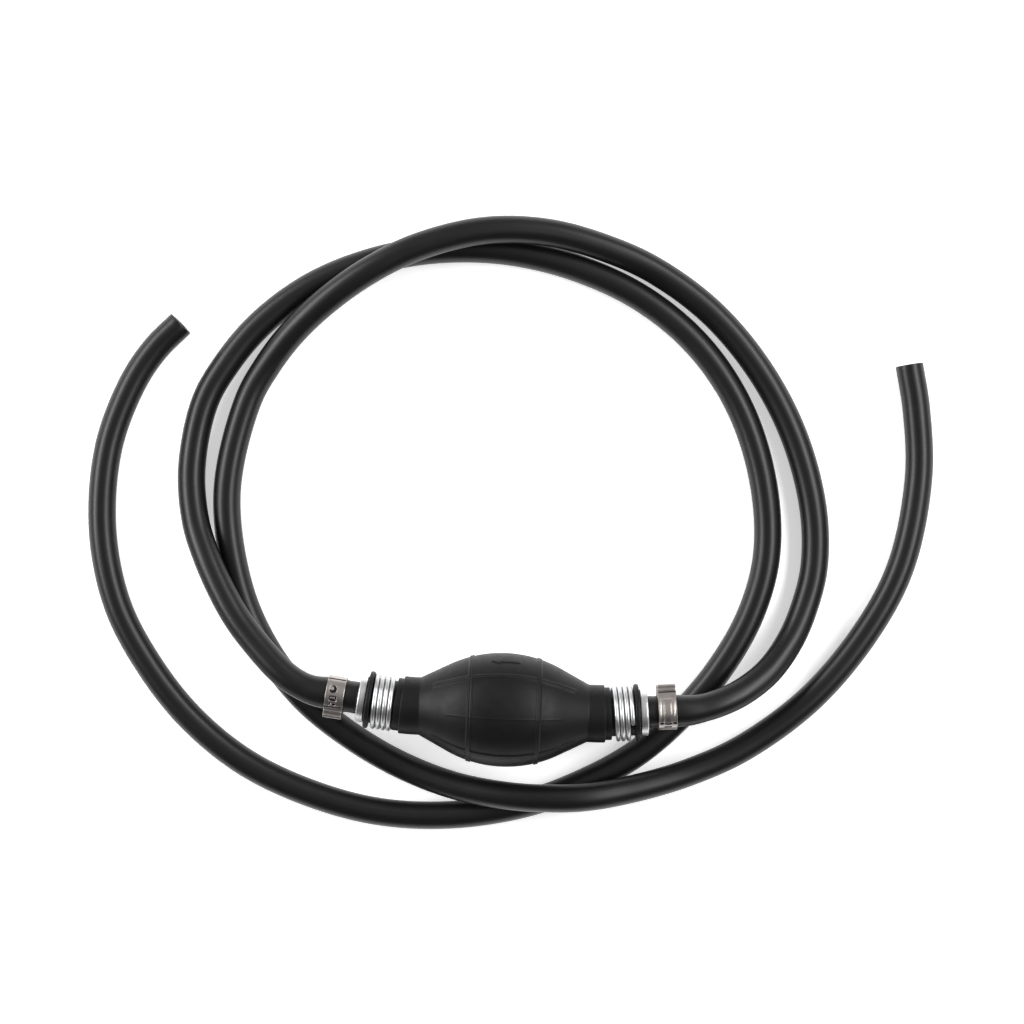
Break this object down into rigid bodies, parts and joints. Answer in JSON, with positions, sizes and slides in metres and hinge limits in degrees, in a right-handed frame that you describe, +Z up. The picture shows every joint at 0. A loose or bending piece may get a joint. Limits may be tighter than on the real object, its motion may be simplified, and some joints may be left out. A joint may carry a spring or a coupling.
{
  "type": "siphon bulb pump",
  "caption": "Squeeze-bulb hand siphon pump: rubber primer bulb with one-way valves in turned hose tails, wire neck clamps, ear clamps and two lengths of black hose.",
  "frame": {"origin": "on the resting surface, under the middle of the bulb", "axes": "+X along the bulb towards its inlet, +Y towards the side that the two necks lean to, +Z up"},
  "size_m": [0.368, 0.2681, 0.0488],
  "materials": {
    "bulb_rubber": "matte",
    "hose_rubber": "satin",
    "turned_metal": "satin",
    "zinc_wire": "bright",
    "stainless_band": "bright",
    "acetal": "matte",
    "nitrile": "matte",
    "spring_steel": "bright"
  },
  "bodies": {
    "pump_body": {"bulb": "bulb_rubber", "inlet_hose_tail": "turned_metal", "outlet_hose_tail": "turned_metal", "inlet_wire_clamp": "zinc_wire", "outlet_wire_clamp": "zinc_wire", "inlet_ear_clamp": "stainless_band", "outlet_ear_clamp": "stainless_band", "inlet_valve_body": "acetal", "outlet_valve_body": "acetal", "inlet_seal_ring": "nitrile", "outlet_seal_ring": "nitrile", "inlet_valve_spring": "spring_steel", "outlet_valve_spring": "spring_steel", "inlet_valve_cage": "acetal", "outlet_valve_cage": "acetal", "inlet_hose": "hose_rubber", "outlet_hose": "hose_rubber"},
    "crown": {"bulb_crown": "bulb_rubber"},
    "inlet_poppet": {"inlet_poppet": "acetal"},
    "outlet_poppet": {"outlet_poppet": "acetal"}
  },
  "joints": [
    {"name": "bulb_squeeze", "type": "slide", "parent": "pump_body", "child": "crown", "axis": [0, 0, -1], "range_m": [0, 0.01], "stiffness_N_per_m": 1500},
    {"name": "inlet_valve", "type": "slide", "parent": "pump_body", "child": "inlet_poppet", "axis": [-0.9965, -0.0837, 0], "range_m": [0, 0.002], "stiffness_N_per_m": 80, "springref_m": -0.0008, "deforming": ["inlet_valve_spring"]},
    {"name": "outlet_valve", "type": "slide", "parent": "pump_body", "child": "outlet_poppet", "axis": [-0.9938, 0.1115, 0], "range_m": [0, 0.002], "stiffness_N_per_m": 80, "springref_m": -0.0008, "deforming": ["outlet_valve_spring"]}
  ]
}
